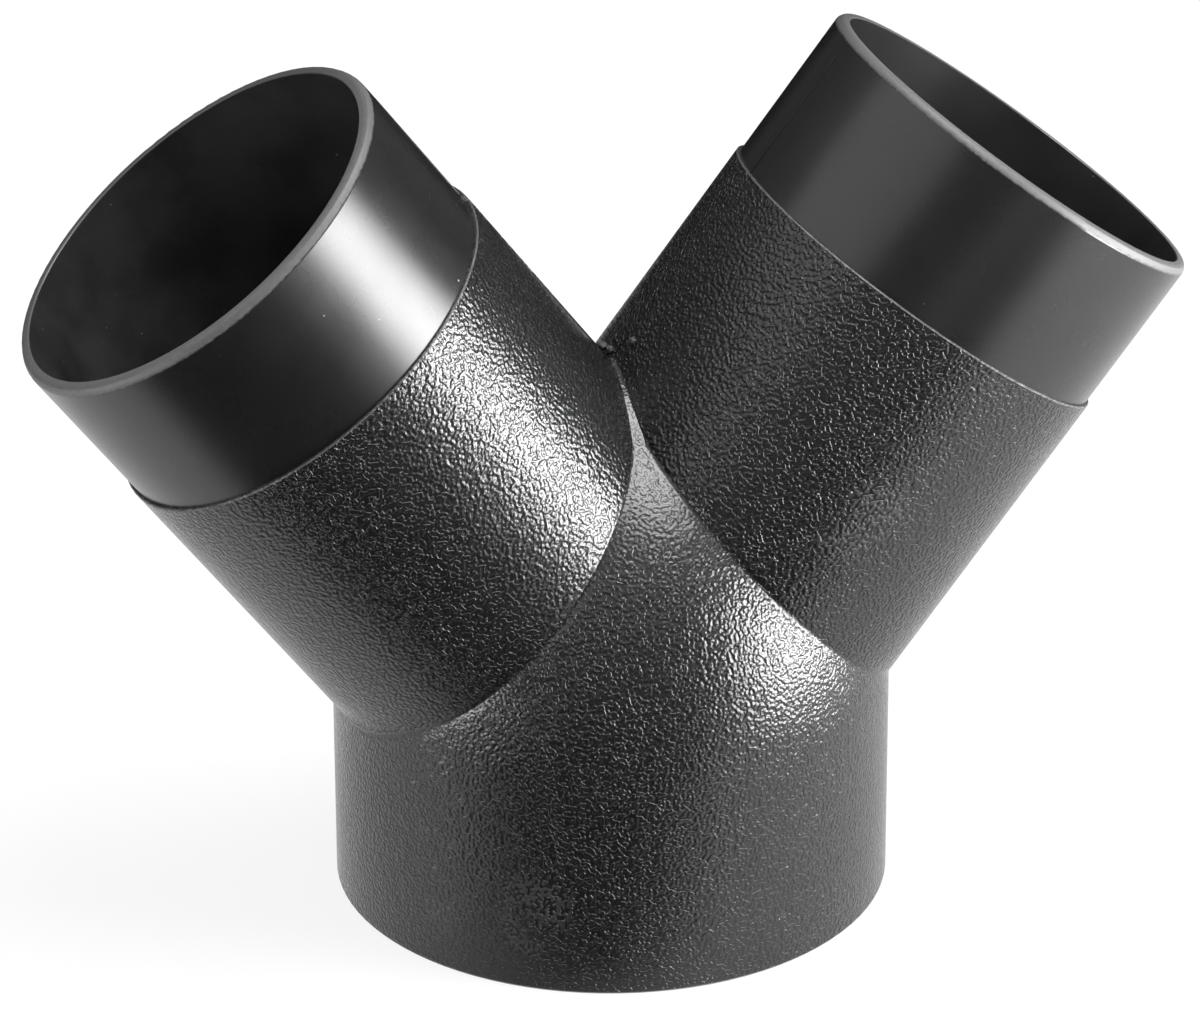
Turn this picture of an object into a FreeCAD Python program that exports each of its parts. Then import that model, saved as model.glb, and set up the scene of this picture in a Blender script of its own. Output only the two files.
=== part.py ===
import FreeCAD, Part
import math
import os

# Duct Y branch, moulded in one piece: a socket barrel with a domed top, from which two necks rise
# at equal angles. Each neck carries the grain of the body and ends in a smooth, slightly smaller
# spigot that a hose slides over. Millimetres, +Z up, necks in the XZ plane, origin at the centre
# of the barrel's lower rim.

# Sizes of what it joins
duct_diameter = 125.0
hose_diameter = 100.0

# Socket barrel
socket_play = 1.0
barrel_wall = 3.0
base_edge_break = 0.6
socket_edge_break = 0.5

# Dome on the barrel: one arc that leaves the barrel's wall upright at the shoulder and turns, by an
# angle in degrees, up to the crown on the axis. The hollow under it is a hemisphere.
shoulder_height = 52.3
dome_turn = 80.0
hollow_lift = 1.5

# Necks and spigots, measured along the neck's axis from where it crosses the barrel's axis. The
# necks stand so high that the crotch between them is just above the crown of the dome.
branch_angle = 37.0
crotch_rise = 0.5
neck_reach = 122.3
spigot_length = 39.7
spigot_wall = 3.0
grain_step = 0.85
step_edge_break = 0.3

# Lip of a spigot: a wide round on the side runs into a tighter one at the end face
lip_side_radius = 2.4
lip_end_radius = 1.4
lip_turn = 45.0
lip_edge_break = 0.3

# Valleys where the necks meet the dome and each other
valley_radius = 1.0

# How far the shapes that cut the hollow run past the mouths that they open
overrun = 5.0

# Derived sizes
socket_radius = (duct_diameter + socket_play) / 2
barrel_radius = socket_radius + barrel_wall
spigot_radius = hose_diameter / 2
neck_radius = spigot_radius + grain_step
duct_radius = spigot_radius - spigot_wall
rim_reach = neck_reach + spigot_length
dome_radius = barrel_radius / (1 - math.cos(math.radians(dome_turn)))
crown_height = shoulder_height + dome_radius * math.sin(math.radians(dome_turn))
crotch_reach = neck_radius / math.sin(math.radians(branch_angle))
crossing_height = crown_height + crotch_rise - crotch_reach

ORIGIN = FreeCAD.Vector(0, 0, 0)
ACROSS = FreeCAD.Vector(0, 1, 0)
UP = FreeCAD.Vector(0, 0, 1)


def at(radius, height):
    """A point of a half section, which is turned about the Z axis."""
    return FreeCAD.Vector(radius, 0, height)


def polar(radius, angle):
    """A step of a half section at an angle in degrees, from straight outwards to straight up."""
    turn = math.radians(angle)
    return at(radius * math.cos(turn), radius * math.sin(turn))


def line(start, end):
    return Part.LineSegment(start, end).toShape()


def arc(centre, radius, start_angle, end_angle):
    middle_angle = (start_angle + end_angle) / 2
    points = [centre + polar(radius, angle) for angle in (start_angle, middle_angle, end_angle)]
    return Part.Arc(*points).toShape()


def turned(edges):
    """The solid that a closed half section makes when it is turned about the Z axis."""
    return Part.Face(Part.Wire(edges)).revolve(ORIGIN, UP, 360)


def barrel_body():
    """The barrel's outside: lower edge, straight wall and the dome that leaves it upright."""
    base_inner = at(barrel_radius - base_edge_break, 0)
    base_outer = at(barrel_radius, base_edge_break)
    shoulder = at(barrel_radius, shoulder_height)
    dome_centre = shoulder - at(dome_radius, 0)
    crown = at(0, crown_height)
    return turned([
        line(ORIGIN, base_inner),
        line(base_inner, base_outer),
        line(base_outer, shoulder),
        arc(dome_centre, dome_radius, 0, dome_turn),
        line(crown, ORIGIN),
    ])


def barrel_hollow():
    """The socket, with a broken edge at its mouth, and the hemisphere that ends it."""
    below = at(0, -overrun)
    mouth_below = at(socket_radius + socket_edge_break, below.z)
    mouth = at(mouth_below.x, 0)
    wall_start = at(socket_radius, socket_edge_break)
    spring = at(socket_radius, shoulder_height + hollow_lift)
    crown = at(0, spring.z + socket_radius)
    return turned([
        line(below, mouth_below),
        line(mouth_below, mouth),
        line(mouth, wall_start),
        line(wall_start, spring),
        arc(at(0, spring.z), socket_radius, 0, 90),
        line(crown, below),
    ])


def neck_body():
    """A neck and its spigot, upright on the origin: grained neck, step, smooth spigot, round lip."""
    foot = at(neck_radius, 0)
    neck_end = at(neck_radius, neck_reach - step_edge_break)
    step_outer = at(neck_radius - step_edge_break, neck_reach)
    step_inner = at(spigot_radius, neck_reach)
    side_turn = polar(lip_side_radius, lip_turn)
    end_turn = polar(lip_end_radius, lip_turn)
    lip_start = at(spigot_radius, rim_reach - lip_end_radius + end_turn.z - side_turn.z)
    side_centre = lip_start - at(lip_side_radius, 0)
    end_centre = side_centre + side_turn - end_turn
    rim_outer = at(end_centre.x, rim_reach)
    rim_centre = at(0, rim_reach)
    return turned([
        line(ORIGIN, foot),
        line(foot, neck_end),
        line(neck_end, step_outer),
        line(step_outer, step_inner),
        line(step_inner, lip_start),
        arc(side_centre, lip_side_radius, 0, lip_turn),
        arc(end_centre, lip_end_radius, lip_turn, 90),
        line(rim_outer, rim_centre),
        line(rim_centre, ORIGIN),
    ])


def neck_hollow():
    """The air way of a neck, upright on the origin, with a broken edge at the rim."""
    foot = at(duct_radius, 0)
    wall_end = at(duct_radius, rim_reach - lip_edge_break)
    mouth = at(duct_radius + lip_edge_break, rim_reach)
    mouth_above = at(mouth.x, rim_reach + overrun)
    above = at(0, mouth_above.z)
    return turned([
        line(ORIGIN, foot),
        line(foot, wall_end),
        line(wall_end, mouth),
        line(mouth, mouth_above),
        line(mouth_above, above),
        line(above, ORIGIN),
    ])


def both_sides(upright):
    """Two copies of an upright neck shape, leaning to either side from the crossing."""
    copies = []
    for angle in (branch_angle, -branch_angle):
        placed = upright.copy()
        placed.rotate(ORIGIN, ACROSS, angle)
        placed.translate(at(0, crossing_height))
        copies.append(placed)
    return copies


def valleys(solid):
    """The edges where two curved walls cross: every other edge is straight or a circle."""
    return [
        edge
        for edge in solid.Edges
        if not edge.Degenerated and isinstance(edge.Curve, (Part.BSplineCurve, Part.Ellipse))
    ]


outside = barrel_body().fuse(both_sides(neck_body())).removeSplitter()
y_branch = outside.makeFillet(valley_radius, valleys(outside))
for hollow in [barrel_hollow()] + both_sides(neck_hollow()):
    y_branch = y_branch.cut(hollow)

os.makedirs("parts", exist_ok=True)
y_branch.exportStep("parts/y_branch.step")
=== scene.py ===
import math

import bpy
from mathutils import Matrix, Vector


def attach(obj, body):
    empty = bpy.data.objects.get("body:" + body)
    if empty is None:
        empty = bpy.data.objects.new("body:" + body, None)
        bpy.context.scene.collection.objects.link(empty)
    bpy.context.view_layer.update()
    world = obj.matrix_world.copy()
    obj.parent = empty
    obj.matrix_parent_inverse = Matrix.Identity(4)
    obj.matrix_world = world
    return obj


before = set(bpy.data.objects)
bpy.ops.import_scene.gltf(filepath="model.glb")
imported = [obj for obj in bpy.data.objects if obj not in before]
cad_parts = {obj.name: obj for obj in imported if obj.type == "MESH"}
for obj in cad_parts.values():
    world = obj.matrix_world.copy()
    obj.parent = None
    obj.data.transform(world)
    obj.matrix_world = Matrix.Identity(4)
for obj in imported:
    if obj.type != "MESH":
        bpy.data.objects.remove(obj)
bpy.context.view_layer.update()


# The moulding: barrel, dome, necks and spigots in one piece of black plastic. The cavity of the
# mould is etched with a leather grain that stops at the spigots, which are left smooth for the
# hose. Cores leave the inside plain.

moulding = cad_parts["y_branch"]

barrel_radius = 0.066
shoulder_height = 0.0523
dome_turn = math.radians(80.0)
dome_radius = barrel_radius / (1 - math.cos(dome_turn))
hollow_radius = 0.063
hollow_spring = 0.0538
lean = math.radians(37.0)
neck_radius = 0.05085
spigot_radius = 0.050
duct_radius = 0.047
neck_reach = 0.1223
rim_reach = 0.162
crotch_rise = 0.0005
crotch_height = shoulder_height + dome_radius * math.sin(dome_turn) + crotch_rise
crossing_height = crotch_height - neck_radius / math.sin(lean)


def put(tree, kind, inputs=None, **settings):
    """Adds a node, with sockets linked or set by name or number."""
    made = tree.nodes.new(kind)
    for name, value in settings.items():
        setattr(made, name, value)
    for socket, value in (inputs or {}).items():
        if isinstance(value, bpy.types.NodeSocket):
            tree.links.new(value, made.inputs[socket])
        else:
            made.inputs[socket].default_value = value
    return made


def reckon(tree, operation, *values):
    return put(tree, "ShaderNodeMath", dict(enumerate(values)), operation=operation).outputs[0]


def product(tree, first, *others):
    """All the values multiplied together."""
    for other in others:
        first = reckon(tree, "MULTIPLY", first, other)
    return first


def rest_of(tree, mask):
    return reckon(tree, "SUBTRACT", 1.0, mask)


def fade(tree, value, start, end):
    """A smooth step from 0 at start to 1 at end."""
    sockets = {"Value": value, "From Min": start, "From Max": end}
    return put(tree, "ShaderNodeMapRange", sockets, interpolation_type="SMOOTHSTEP").outputs["Result"]


def noise(tree, vector, scale, detail, roughness=0.5):
    sockets = {"Vector": vector, "Scale": scale, "Detail": detail, "Roughness": roughness}
    return put(tree, "ShaderNodeTexNoise", sockets).outputs["Fac"]


def parts_of(tree, vector):
    return put(tree, "ShaderNodeSeparateXYZ", {0: vector}).outputs


def new_group(name, takes, gives):
    """A shader node group with its named sockets; returns the tree, its input and its output node."""
    tree = bpy.data.node_groups.new(name, "ShaderNodeTree")
    for socket, kind in takes:
        tree.interface.new_socket(socket, in_out="INPUT", socket_type=kind)
    for socket, kind in gives:
        tree.interface.new_socket(socket, in_out="OUTPUT", socket_type=kind)
    return tree, tree.nodes.new("NodeGroupInput"), tree.nodes.new("NodeGroupOutput")


def use_group(tree, group, inputs):
    return put(tree, "ShaderNodeGroup", inputs, node_tree=group).outputs


# Zones of the moulding, told apart by place: both sides count alike, so x is taken without its sign
bore_skin = (0.00015, 0.00005)
hollow_skin = (0.0003, 0.0002)
step_blur = 0.00005
valley_width = (0.0012, 0.0002)
web_strip = (0.0030, 0.0018)
gusset_heights = (0.095, 0.112)
zones, zones_in, zones_out = new_group(
    "moulding_zones",
    [("Vector", "NodeSocketVector")],
    [
        (name, "NodeSocketFloat")
        for name in ("Along", "Spigot", "Inside", "Valley", "Neck", "Gusset", "Height")
    ],
)
zone_place = parts_of(zones, zones_in.outputs["Vector"])
side = reckon(zones, "ABSOLUTE", zone_place["X"])
depth = zone_place["Y"]
height = zone_place["Z"]
above_crossing = reckon(zones, "SUBTRACT", height, crossing_height)
along = reckon(
    zones, "ADD",
    reckon(zones, "MULTIPLY", side, math.sin(lean)),
    reckon(zones, "MULTIPLY", above_crossing, math.cos(lean)),
)
across = reckon(
    zones, "SUBTRACT",
    reckon(zones, "MULTIPLY", side, math.cos(lean)),
    reckon(zones, "MULTIPLY", above_crossing, math.sin(lean)),
)


def length_of(first, second):
    squares = [reckon(zones, "MULTIPLY", value, value) for value in (first, second)]
    return reckon(zones, "SQRT", reckon(zones, "ADD", *squares))


from_neck_axis = length_of(across, depth)
from_barrel_axis = length_of(side, depth)
above_spring = reckon(zones, "MAXIMUM", reckon(zones, "SUBTRACT", height, hollow_spring), 0.0)
from_hollow = length_of(from_barrel_axis, above_spring)
in_neck = fade(zones, from_neck_axis, *(duct_radius + skin for skin in bore_skin))
in_barrel = fade(zones, from_hollow, *(hollow_radius + skin for skin in hollow_skin))
above_shoulder = reckon(zones, "MAXIMUM", reckon(zones, "SUBTRACT", height, shoulder_height), 0.0)
from_arc_axis = reckon(zones, "ADD", from_barrel_axis, dome_radius - barrel_radius)
off_dome = reckon(zones, "SUBTRACT", length_of(from_arc_axis, above_shoulder), dome_radius)
off_neck = reckon(zones, "SUBTRACT", from_neck_axis, neck_radius)
neck_side = reckon(zones, "LESS_THAN", off_neck, off_dome)
between_necks = reckon(zones, "MAXIMUM", fade(zones, side, *web_strip), rest_of(zones, neck_side))
zone_values = {
    "Along": along,
    "Spigot": fade(zones, along, neck_reach - step_blur, neck_reach + step_blur),
    "Inside": reckon(zones, "MAXIMUM", in_neck, in_barrel),
    "Valley": fade(zones, reckon(zones, "MAXIMUM", off_dome, off_neck), *valley_width),
    "Neck": neck_side,
    "Gusset": reckon(zones, "MULTIPLY", between_necks, fade(zones, height, *gusset_heights)),
    "Height": height,
}
for name, value in zone_values.items():
    zones.links.new(value, zones_out.inputs[name])


# Leather grain: flat worm-like pebbles with a short steep edge, of uneven size, many run together
pebble_edge = (0.48, 0.56)
fine_scale = 2600.0
fine_share = 0.16
grain, grain_in, grain_out = new_group(
    "leather_grain",
    [("Vector", "NodeSocketVector"), ("Scale", "NodeSocketFloat")],
    [("Height", "NodeSocketFloat"), ("Pebble", "NodeSocketFloat")],
)
blobs = noise(grain, grain_in.outputs["Vector"], grain_in.outputs["Scale"], 0.0)
pebble = fade(grain, blobs, *pebble_edge)
fine = noise(grain, grain_in.outputs["Vector"], fine_scale, 0.0)
rough_top = reckon(grain, "MULTIPLY", fine, fine_share)
grain_height = reckon(grain, "ADD", reckon(grain, "ADD", pebble, blobs), rough_top)
grain.links.new(grain_height, grain_out.inputs["Height"])
grain.links.new(pebble, grain_out.inputs["Pebble"])


# Dust: small pale grains that lie on the plastic, more of them where the share is larger
smallest_dot = 0.024
dot_spread = 0.04
dust, dust_in, dust_out = new_group(
    "dust_specks",
    [("Vector", "NodeSocketVector"), ("Scale", "NodeSocketFloat"), ("Share", "NodeSocketFloat")],
    [("Speck", "NodeSocketFloat")],
)
dots = put(
    dust, "ShaderNodeTexVoronoi",
    {"Vector": dust_in.outputs["Vector"], "Scale": dust_in.outputs["Scale"]},
).outputs
lot = parts_of(dust, dots["Color"])
dot_size = reckon(dust, "MULTIPLY_ADD", lot["Y"], dot_spread, smallest_dot)
dot = reckon(dust, "LESS_THAN", dots["Distance"], dot_size)
chosen = reckon(dust, "LESS_THAN", lot["X"], dust_in.outputs["Share"])
dust.links.new(reckon(dust, "MULTIPLY", dot, chosen), dust_out.inputs["Speck"])


plastic = bpy.data.materials.new("black_moulded_plastic")
plastic.use_nodes = True
tree = plastic.node_tree
tree.nodes.clear()
coordinates = put(tree, "ShaderNodeTexCoord").outputs["Object"]
spot = parts_of(tree, coordinates)
zone = use_group(tree, zones, {"Vector": coordinates})

dome_pebbles = 1180.0
neck_pebbles = 1120.0
grain_scale = reckon(tree, "MULTIPLY_ADD", zone["Neck"], neck_pebbles - dome_pebbles, dome_pebbles)
pebbles = use_group(tree, grain, {"Vector": coordinates, "Scale": grain_scale})

dust_scale = 230.0
dust_outside = 0.10
dust_more_inside = 0.20
dust_share = reckon(tree, "MULTIPLY_ADD", zone["Inside"], dust_more_inside, dust_outside)
dust_inputs = {"Vector": coordinates, "Scale": dust_scale, "Share": dust_share}
specks = use_group(tree, dust, dust_inputs)["Speck"]

# The grain is shallower towards the base, in the valleys and on the gusset between the necks
base_grain = 0.75
full_grain_heights = (0.001, 0.025)
base_edge = (0.0002, 0.0012)
valley_loss = 0.6
gusset_loss = 0.5
smooth_part = reckon(tree, "MAXIMUM", zone["Spigot"], zone["Inside"])
grained = rest_of(tree, smooth_part)
above_base = fade(tree, zone["Height"], *full_grain_heights)
grain_depth = product(
    tree,
    grained,
    reckon(tree, "MULTIPLY_ADD", above_base, 1.0 - base_grain, base_grain),
    rest_of(tree, reckon(tree, "MULTIPLY", zone["Valley"], valley_loss)),
    fade(tree, zone["Height"], *base_edge),
    rest_of(tree, reckon(tree, "MULTIPLY", zone["Gusset"], gusset_loss)),
)

# Smooth spigots: a long shallow waviness from shrinking, and fine rings from the turned mould
sway = noise(tree, coordinates, 26.0, 1.0)
ring_place = put(tree, "ShaderNodeCombineXYZ", {"X": zone["Along"]}).outputs[0]
rings = noise(tree, ring_place, 1900.0, 3.0, 0.7)

grain_rise = 0.00026
sway_rise = 0.0006
ring_rise = 0.000006
speck_rise = 0.00004
grain_lift = product(tree, pebbles["Height"], grain_depth, grain_rise)
sway_lift = product(tree, sway, smooth_part, sway_rise)
ring_lift = product(tree, rings, zone["Spigot"], ring_rise)
speck_lift = product(tree, specks, smooth_part, speck_rise)
coarse_lift = reckon(tree, "ADD", grain_lift, sway_lift)
fine_lift = reckon(tree, "ADD", ring_lift, speck_lift)
lift = reckon(tree, "ADD", coarse_lift, fine_lift)
relief = put(tree, "ShaderNodeBump", {"Strength": 1.0, "Distance": 1.0, "Height": lift})

# Rubbed patches: the tops of the pebbles have gone grey and dull
rub_places = (
    ((0.0478, -0.0508, 0.1133), 0.016),
    ((0.0497, -0.0504, 0.1240), 0.011),
    ((0.0431, -0.0508, 0.1058), 0.011),
    ((-0.0330, -0.0570, 0.0220), 0.012),
    ((-0.0350, -0.0560, 0.0150), 0.009),
    ((-0.0520, -0.0410, 0.0120), 0.008),
)
rub_core = 0.4
rub_strength = 0.4
rubbed = 0.0
for centre, reach in rub_places:
    away = put(tree, "ShaderNodeVectorMath", {0: coordinates, 1: centre}, operation="DISTANCE")
    patch = fade(tree, away.outputs["Value"], reach, reach * rub_core)
    rubbed = reckon(tree, "MAXIMUM", rubbed, patch)
rub_breaks = fade(tree, noise(tree, coordinates, 90.0, 2.0), 0.38, 0.55)
rub = product(tree, rubbed, rub_breaks, pebbles["Pebble"], grained, rub_strength)

# Scuffed edges: the lips were trimmed and are pale and dull with a ragged border. The pale, dull line
# on the edge of the step is a painted highlight. The lips' pale tone is painted weaker at the back, as
# painted shade.
ragged_width = 0.0008
lip_border = (rim_reach - 0.0021, rim_reach - 0.0015)
step_border = (neck_reach - 0.00045, neck_reach - 0.0003)
painted_step_highlight = 0.7
painted_back_shade_share = 0.45
scuff_noise = noise(tree, coordinates, 1100.0, 2.0)
ragged = reckon(tree, "MULTIPLY_ADD", scuff_noise, ragged_width, -ragged_width / 2)
lip = fade(tree, reckon(tree, "ADD", zone["Along"], ragged), *lip_border)
# Painted highlight: a pale line along the edge of the step
step_edge = product(
    tree, fade(tree, zone["Along"], *step_border), rest_of(tree, zone["Spigot"]), painted_step_highlight
)
scuff_and_edge_highlight = product(tree, reckon(tree, "MAXIMUM", lip, step_edge), rest_of(tree, zone["Inside"]))
# Painted light and shade: the lips' pale tone is full at the front and weaker at the back
painted_light_front = fade(tree, spot["Y"], 0.03, -0.01)
scuff_and_painted_light_tone = product(
    tree,
    scuff_and_edge_highlight,
    reckon(tree, "MULTIPLY_ADD", scuff_noise, 0.6, 0.6),
    reckon(tree, "MULTIPLY_ADD", painted_light_front, 1.0 - painted_back_shade_share, painted_back_shade_share),
)


def grey(value):
    return (value, value, value, 1.0)


def tint(tree, share, first, second):
    """A colour between two colours, by a share from 0 to 1."""
    return put(tree, "ShaderNodeMix", {0: share, 6: first, 7: second}, data_type="RGBA").outputs[2]


def between(tree, share, first, second):
    """A value between two values, by a share from 0 to 1."""
    return put(tree, "ShaderNodeMix", {0: share, 2: first, 3: second}).outputs[0]


# Colour: uneven black, with a thin dusty film inside, more of it in the left neck, the wear on top, and
# painted light on the lips and the step's edge
deep_black = (0.004, 0.004, 0.0042, 1.0)
pale_black = (0.007, 0.007, 0.0072, 1.0)
clean_side_film = 0.25
mottle = noise(tree, coordinates, 60.0, 3.0)
left_side = fade(tree, spot["X"], 0.03, -0.03)
film = product(
    tree,
    zone["Inside"],
    fade(tree, mottle, 0.0, 0.8),
    reckon(tree, "MULTIPLY_ADD", left_side, 1.0 - clean_side_film, clean_side_film),
)
colour = tint(tree, mottle, deep_black, pale_black)
colour = tint(tree, film, colour, grey(0.028))
colour = tint(tree, rub, colour, grey(0.04))
# Pale scuff on the lips, painted weaker at the back, and a painted highlight on the step's edge
colour = tint(tree, scuff_and_painted_light_tone, colour, grey(0.07))
colour = tint(tree, reckon(tree, "MULTIPLY", specks, smooth_part), colour, grey(0.22))

# Gloss: the spigots are a little duller than the grain, and wear is duller still
spigot_gloss = 0.24
grain_gloss = 0.17
inside_gloss = 0.24
scuff_gloss = 0.55
rub_dulling = 0.3
gloss_noise = noise(tree, coordinates, 90.0, 3.0)
spigot_rough = reckon(tree, "MULTIPLY_ADD", gloss_noise, 0.07, spigot_gloss)
grain_rough = reckon(tree, "MULTIPLY_ADD", gloss_noise, 0.08, grain_gloss)
roughness = between(tree, zone["Spigot"], grain_rough, spigot_rough)
roughness = between(tree, zone["Inside"], roughness, inside_gloss)
roughness = between(tree, scuff_and_edge_highlight, roughness, scuff_gloss)
roughness = reckon(tree, "ADD", roughness, reckon(tree, "MULTIPLY", rub, rub_dulling))

finish = put(
    tree, "ShaderNodeBsdfPrincipled",
    {
        "Base Color": colour,
        "Roughness": roughness,
        "IOR": 1.5,
        "Specular IOR Level": 0.65,
        "Normal": relief.outputs["Normal"],
    },
)
put(tree, "ShaderNodeOutputMaterial", {"Surface": finish.outputs["BSDF"]})
moulding.data.materials[0] = plastic


# Web in the crotch: the plastic fills the bottom of the V between the necks with a narrow saddle,
# which runs up out of the dome, over the crotch and down the back. It is part of the same shot.

web_end = 0.0285
web_full_width_from = 0.027
web_half_at_crotch = 0.0006
web_half_at_dome = 0.0018
web_bite = 0.0001
web_sink = 0.0012
smooth_angle = math.radians(40.0)


def pick(mesh, test):
    """Selects the vertices whose place passes the test, and nothing else."""
    for kind in (mesh.vertices, mesh.edges, mesh.polygons):
        kind.foreach_set("select", [False] * len(kind))
    for point in mesh.vertices:
        point.select = test(point.co)


bpy.ops.object.select_all(action="DESELECT")
bpy.ops.mesh.primitive_circle_add(
    vertices=256, radius=neck_radius, rotation=(0.0, math.radians(90.0), 0.0)
)
web = bpy.context.object
web.name = "crotch_web"
bpy.ops.object.transform_apply(location=False, rotation=True, scale=False)
web.scale = (1.0, 1.0, 1.0 / math.sin(lean))
web.location = (0.0, 0.0, crossing_height)
bpy.ops.object.transform_apply(location=True, rotation=False, scale=True)
pick(web.data, lambda place: abs(place.y) > web_end or place.z < crossing_height)
bpy.ops.object.mode_set(mode="EDIT")
bpy.ops.mesh.delete(type="VERT")
bpy.ops.mesh.select_all(action="SELECT")
bpy.ops.transform.translate(value=(-0.5, 0.0, 0.0))
bpy.ops.mesh.extrude_region_move(TRANSFORM_OT_translate={"value": (1.0, 0.0, 0.0)})
bpy.ops.object.mode_set(mode="OBJECT")
stations = sorted({round(point.co.y, 6) for point in web.data.vertices})
for station in stations:
    pick(web.data, lambda place: round(place.y, 6) == station)
    share = min(abs(station) / web_full_width_from, 1.0)
    half = web_half_at_crotch + (web_half_at_dome - web_half_at_crotch) * share ** 4
    bpy.ops.object.mode_set(mode="EDIT")
    bpy.ops.transform.resize(value=(2.0 * half, 1.0, 1.0), center_override=(0.0, 0.0, 0.0))
    bpy.ops.transform.translate(value=(0.0, 0.0, (half - web_bite) / math.tan(lean)))
    bpy.ops.object.mode_set(mode="OBJECT")
bpy.ops.object.mode_set(mode="EDIT")
bpy.ops.mesh.select_all(action="SELECT")
bpy.ops.mesh.extrude_region_move(TRANSFORM_OT_translate={"value": (0.0, 0.0, -web_sink)})
bpy.ops.mesh.select_all(action="SELECT")
bpy.ops.mesh.normals_make_consistent(inside=False)
bpy.ops.object.mode_set(mode="OBJECT")
bpy.ops.object.shade_smooth_by_angle(angle=smooth_angle)
web.data.materials.append(plastic)
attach(web, "root")


# Parting flash: a fine ridge of plastic where the two halves of the mould met, in the plane of the
# necks. It runs along the inner and outer side of each neck and spigot.

flash_width = 0.00045
flash_depth = 0.0012
flash_stand = 0.00014
flash_bevel = flash_width * 0.4
crotch_gap = 0.001
step_gap = 0.0005
lip_gap = 0.0045


def on_neck(reach, radius, inner):
    """A point on the right neck's inner or outer side, in the plane of the necks."""
    turn = -1.0 if inner else 1.0
    return Vector((
        reach * math.sin(lean) + turn * radius * math.cos(lean),
        0.0,
        crossing_height + reach * math.cos(lean) - turn * radius * math.sin(lean),
    ))


def ridge(start, end, outward):
    """A fine bar between two points of a surface, sunk so that only its rounded top stands out."""
    length = (end - start).length
    along_way = (end - start).normalized()
    middle = (start + end) / 2 + outward * (flash_stand - flash_depth / 2)
    tilt = math.atan2(along_way.x, along_way.z)
    bpy.ops.object.select_all(action="DESELECT")
    bpy.ops.mesh.primitive_cube_add(size=1.0, location=middle, rotation=(0.0, tilt, 0.0))
    bar = bpy.context.object
    bar.scale = (flash_depth, flash_width, length)
    bpy.ops.object.transform_apply(location=True, rotation=True, scale=True)
    bpy.ops.object.mode_set(mode="EDIT")
    bpy.ops.mesh.select_all(action="SELECT")
    bpy.ops.mesh.bevel(offset=flash_bevel, segments=2, affect="EDGES")
    bpy.ops.object.mode_set(mode="OBJECT")
    return bar


def joined(pieces, name):
    """Joins pieces into one object with the given name."""
    bpy.ops.object.select_all(action="DESELECT")
    for piece in pieces:
        piece.select_set(True)
    bpy.context.view_layer.objects.active = pieces[0]
    bpy.ops.object.join()
    made = bpy.context.object
    made.name = name
    return made


crotch_reach = neck_radius / math.tan(lean)
shoulder_reach = (barrel_radius - neck_radius * math.cos(lean)) / math.sin(lean)
inward = Vector((-math.cos(lean), 0.0, math.sin(lean)))
runs = []
for neck_start, inner, outward in (
    (crotch_reach + crotch_gap, True, inward),
    (shoulder_reach, False, -inward),
):
    neck_foot = on_neck(neck_start, neck_radius, inner)
    neck_end = on_neck(neck_reach - step_gap, neck_radius, inner)
    spigot_foot = on_neck(neck_reach, spigot_radius, inner)
    spigot_end = on_neck(rim_reach - lip_gap, spigot_radius, inner)
    runs.append((neck_foot, neck_end, outward))
    runs.append((spigot_foot, spigot_end, outward))
bars = [ridge(*run) for run in runs]
mirror = Matrix.Diagonal((-1.0, 1.0, 1.0, 1.0))
bars += [ridge(mirror @ start, mirror @ end, mirror @ outward) for start, end, outward in runs]
flash = joined(bars, "parting_flash")
bpy.ops.object.shade_smooth_by_angle(angle=smooth_angle)
flash.data.materials.append(plastic)
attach(flash, "root")


# Flash lumps: small crumbs of plastic that squeezed out of the mould at the crotch and at the step of
# the left spigot, and were left on. They are duller and paler than the moulding.

lump_places = (
    ((0.0001, 0.0073, 0.1322), (0.0011, 0.0016, 0.0008)),
    ((0.0007, 0.0026, 0.1330), (0.0009, 0.0014, 0.0010)),
    ((0.0044, -0.0040, 0.1372), (0.0009, 0.0011, 0.0012)),
    ((-0.0346, -0.0007, 0.1760), (0.0008, 0.0012, 0.0009)),
    ((-0.0332, -0.0004, 0.1742), (0.0006, 0.0008, 0.0010)),
)
lumps = []
for number, (centre, size) in enumerate(lump_places):
    bpy.ops.object.select_all(action="DESELECT")
    bpy.ops.mesh.primitive_ico_sphere_add(subdivisions=3, radius=1.0, location=centre)
    lump = bpy.context.object
    lump.scale = size
    bpy.ops.object.mode_set(mode="EDIT")
    bpy.ops.mesh.select_all(action="SELECT")
    bpy.ops.transform.vertex_random(offset=0.34, uniform=0.4, normal=0.6, seed=number)
    bpy.ops.mesh.vertices_smooth(factor=0.5, repeat=1)
    bpy.ops.object.mode_set(mode="OBJECT")
    bpy.ops.object.transform_apply(location=True, rotation=True, scale=True)
    lumps.append(lump)
crumbs = joined(lumps, "flash_lumps")
bpy.ops.object.shade_smooth()

crumb_scale = 2200.0
crumb_rise = 0.0003
dull = bpy.data.materials.new("dull_crumb")
dull.use_nodes = True
dull_tree = dull.node_tree
dull_shader = dull_tree.nodes["Principled BSDF"]
dull_shader.inputs["Roughness"].default_value = 0.5
crumb_place = put(dull_tree, "ShaderNodeTexCoord").outputs["Object"]
crumb_noise = noise(dull_tree, crumb_place, crumb_scale, 2.0)
crumb_grey = tint(dull_tree, crumb_noise, grey(0.012), grey(0.06))
crumb_lift = put(
    dull_tree, "ShaderNodeBump", {"Strength": 1.0, "Distance": crumb_rise, "Height": crumb_noise}
)
dull_tree.links.new(crumb_grey, dull_shader.inputs["Base Color"])
dull_tree.links.new(crumb_lift.outputs["Normal"], dull_shader.inputs["Normal"])
crumbs.data.materials.append(dull)
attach(crumbs, "root")


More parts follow.
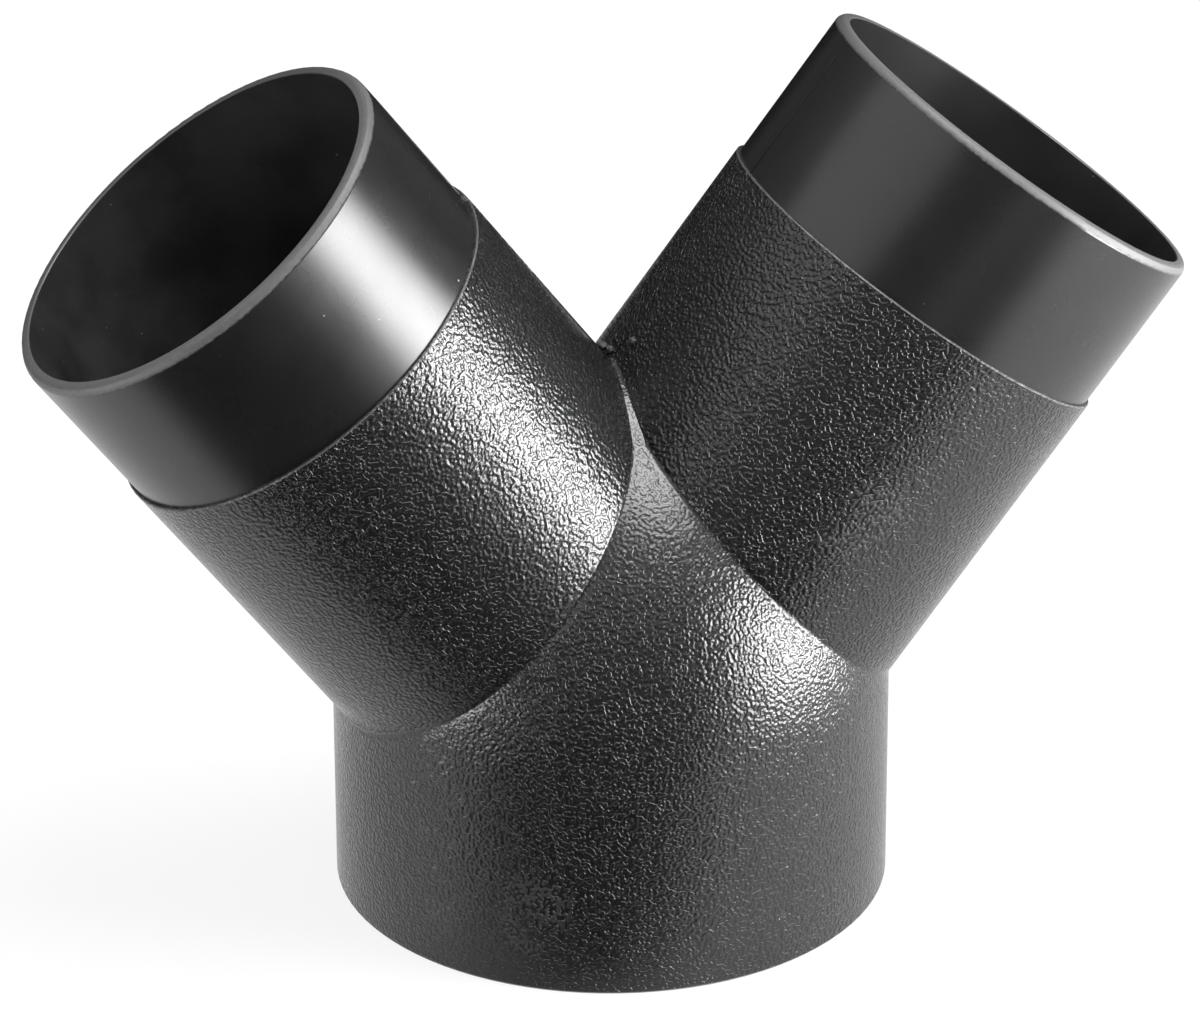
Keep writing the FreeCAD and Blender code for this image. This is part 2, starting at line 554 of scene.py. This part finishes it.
# Floor: a plain white sheet of paper that the part stands on, wide enough to fill the picture. It
# shows nearly as plain white, and keeps the part's soft shadow.

floor_size = 8.0
floor_white_share = 0.85
bpy.ops.object.select_all(action="DESELECT")
bpy.ops.mesh.primitive_plane_add(size=floor_size, location=(0.0, 0.0, 0.0))
floor = bpy.context.object
floor.name = "paper_floor"


def seen_rays(tree):
    """1 for rays from the camera, from a gloss or through a clear piece, and 0 for those that light."""
    rays = put(tree, "ShaderNodeLightPath").outputs
    seen = reckon(tree, "MAXIMUM", rays["Is Camera Ray"], rays["Is Glossy Ray"])
    return reckon(tree, "MAXIMUM", seen, rays["Is Transmission Ray"])


paper = bpy.data.materials.new("white_paper")
paper.use_nodes = True
paper_tree = paper.node_tree
paper_shader = paper_tree.nodes["Principled BSDF"]
paper_shader.inputs["Base Color"].default_value = grey(0.85)
paper_shader.inputs["Roughness"].default_value = 0.9
plain_white = put(paper_tree, "ShaderNodeEmission", {"Color": grey(1.0), "Strength": 1.0})
white_share = reckon(paper_tree, "MULTIPLY", seen_rays(paper_tree), floor_white_share)
lit_paper = put(
    paper_tree, "ShaderNodeMixShader",
    {0: white_share, 1: paper_shader.outputs[0], 2: plain_white.outputs[0]},
)
paper_tree.links.new(lit_paper.outputs[0], paper_tree.nodes["Material Output"].inputs["Surface"])
floor.data.materials.append(paper)


# Black card: lies in front of the part and keeps the glare of the paper off its front. It is out of
# the picture and only shows in reflections. It is a wedge that widens away from the part.

card_size = 1.5
card_lift = 0.0004
bpy.ops.object.select_all(action="DESELECT")
bpy.ops.mesh.primitive_plane_add(size=card_size, location=(-0.2, -0.78, card_lift))
card = bpy.context.object
card.name = "black_card"
bpy.ops.object.transform_apply(location=True, rotation=False, scale=False)


def dead_black(name, mask_from):
    """A dull black material that is clear where its mask, made from the place, is 0."""
    made = bpy.data.materials.new(name)
    made.use_nodes = True
    tree = made.node_tree
    shader = tree.nodes["Principled BSDF"]
    shader.inputs["Base Color"].default_value = grey(0.01)
    shader.inputs["Roughness"].default_value = 1.0
    shader.inputs["Specular IOR Level"].default_value = 0.0
    place = parts_of(tree, put(tree, "ShaderNodeTexCoord").outputs["Object"])
    clear = put(tree, "ShaderNodeBsdfTransparent")
    thinned = put(
        tree, "ShaderNodeMixShader",
        {0: mask_from(tree, place), 1: clear.outputs[0], 2: shader.outputs[0]},
    )
    tree.links.new(thinned.outputs[0], tree.nodes["Material Output"].inputs["Surface"])
    return made


def only_reflected(piece):
    piece.visible_camera = False
    piece.visible_diffuse = False
    piece.visible_shadow = False


def wedge_mask(tree, place):
    """Soft edges of the card: its two sides, the slanting edge near the part, and the far end."""
    middle = reckon(tree, "MULTIPLY_ADD", place["Y"], -0.0728, -0.1212)
    half_width = reckon(tree, "MULTIPLY_ADD", place["Y"], -0.548, 0.0698)
    off_middle = reckon(tree, "ABSOLUTE", reckon(tree, "SUBTRACT", place["X"], middle))
    sides = fade(tree, reckon(tree, "DIVIDE", off_middle, half_width), 1.2, 0.75)
    slant = reckon(
        tree, "SUBTRACT",
        reckon(tree, "MULTIPLY", reckon(tree, "ADD", place["X"], 0.05), 0.20),
        reckon(tree, "MULTIPLY", reckon(tree, "ADD", place["Y"], 0.06), 0.959),
    )
    near_edge = fade(tree, slant, -0.035, 0.03)
    far_edge = fade(tree, place["Y"], -1.5, -1.1)
    return product(tree, sides, near_edge, far_edge)


card.data.materials.append(dead_black("black_card", wedge_mask))
only_reflected(card)


# Back card: a second black card, far behind the part, that keeps the edges of the necks dark. It too
# only shows in reflections, and its near edge is soft.

back_card_size = 4.0
bpy.ops.object.select_all(action="DESELECT")
bpy.ops.mesh.primitive_plane_add(size=back_card_size, location=(0.0, 2.3, card_lift))
back_card = bpy.context.object
back_card.name = "back_card"
bpy.ops.object.transform_apply(location=True, rotation=False, scale=False)


def back_mask(tree, place):
    return fade(tree, place["Y"], 0.30, 0.55)


back_card.data.materials.append(dead_black("back_card", back_mask))
only_reflected(back_card)


# Black tent: dark cloth all round the set, thinner towards the top, so that the sides of the part
# mirror a dark room under a pale ceiling. It only shows in reflections.

tent_radius = 3.5
tent_cover = 0.9
bpy.ops.object.select_all(action="DESELECT")
bpy.ops.mesh.primitive_uv_sphere_add(
    segments=48, ring_count=24, radius=tent_radius, location=(0.0, 0.0, 0.0)
)
tent = bpy.context.object
tent.name = "black_tent"
bpy.ops.object.shade_smooth()


def tent_mask(tree, place):
    below_top = fade(tree, place["Z"], tent_radius, tent_radius * 0.2)
    return reckon(tree, "MULTIPLY", below_top, tent_cover)


tent.data.materials.append(dead_black("black_cloth", tent_mask))
only_reflected(tent)


# Light: two soft boxes over each other on the right, a wide one overhead, a weak one on the left, and
# a low narrow one on each side for the edges. The sky adds a little, and shows as plain white.

light_aim = Vector((0.0, 0.0, 0.11))


def soft_box(name, azimuth, elevation, distance, width, tall, watts):
    """An area lamp that faces the part from a direction in degrees, azimuth from -Y towards +X."""
    turn = math.radians(azimuth)
    rise = math.radians(elevation)
    way = Vector((math.sin(turn) * math.cos(rise), -math.cos(turn) * math.cos(rise), math.sin(rise)))
    lamp = bpy.data.lights.new(name, "AREA")
    lamp.shape = "RECTANGLE"
    lamp.size = width
    lamp.size_y = tall
    lamp.energy = watts
    holder = bpy.data.objects.new(name, lamp)
    bpy.context.scene.collection.objects.link(holder)
    holder.location = light_aim + way * distance
    holder.rotation_euler = way.to_track_quat("Z", "Y").to_euler()
    holder.visible_camera = False


soft_box("right_box", 60.0, 3.0, 0.6, 0.26, 0.36, 6.2)
soft_box("right_spread", 60.0, 3.0, 0.6, 0.44, 0.42, 6.2)
soft_box("top_box", 66.0, 76.0, 1.1, 0.75, 0.75, 16.0)
soft_box("left_box", -75.0, 33.0, 1.2, 1.4, 0.50, 2.1)
soft_box("left_low", -80.0, -3.0, 0.7, 0.4, 0.14, 1.5)
soft_box("right_low", 80.0, -3.0, 0.7, 0.4, 0.14, 2.6)

world = bpy.data.worlds.new("studio")
bpy.context.scene.world = world
world.use_nodes = True
sky = world.node_tree
sky.nodes.clear()
sky_way = parts_of(sky, put(sky, "ShaderNodeTexCoord").outputs["Generated"])
overhead = fade(sky, sky_way["Z"], 0.2, 1.0)
sky_light = tint(sky, overhead, grey(0.10), grey(1.0))
dim = put(sky, "ShaderNodeBackground", {"Color": sky_light, "Strength": 1.0})
white = put(sky, "ShaderNodeBackground", {"Color": grey(1.0), "Strength": 1.0})
lit_sky = put(sky, "ShaderNodeMixShader", {0: seen_rays(sky), 1: dim.outputs[0], 2: white.outputs[0]})
put(sky, "ShaderNodeOutputWorld", {"Surface": lit_sky.outputs[0]})


# Camera: a long lens, a little left of the front and well above the part, turned so that the picture
# frames the part as the photograph does.

camera_azimuth = math.radians(-14.7995)
camera_elevation = math.radians(25.4445)
camera_roll = math.radians(-0.1939)
camera_distance = 1.50986
aim = Vector((-0.00083871, 0.00620215, 0.09135284))
lens = bpy.data.cameras.new("camera")
lens.lens = 192.252
lens.sensor_width = 36.0
camera = bpy.data.objects.new("camera", lens)
bpy.context.scene.collection.objects.link(camera)
back = Vector((
    math.sin(camera_azimuth) * math.cos(camera_elevation),
    -math.cos(camera_azimuth) * math.cos(camera_elevation),
    math.sin(camera_elevation),
))
right = Vector((math.cos(camera_azimuth), math.sin(camera_azimuth), 0.0))
up = back.cross(right)
rolled_right = right * math.cos(camera_roll) + up * math.sin(camera_roll)
rolled_up = up * math.cos(camera_roll) - right * math.sin(camera_roll)
stand = aim + back * camera_distance
camera.matrix_world = Matrix((
    (rolled_right.x, rolled_up.x, back.x, stand.x),
    (rolled_right.y, rolled_up.y, back.y, stand.y),
    (rolled_right.z, rolled_up.z, back.z, stand.z),
    (0.0, 0.0, 0.0, 1.0),
))
bpy.context.scene.camera = camera
bpy.context.scene.view_settings.view_transform = "Standard"
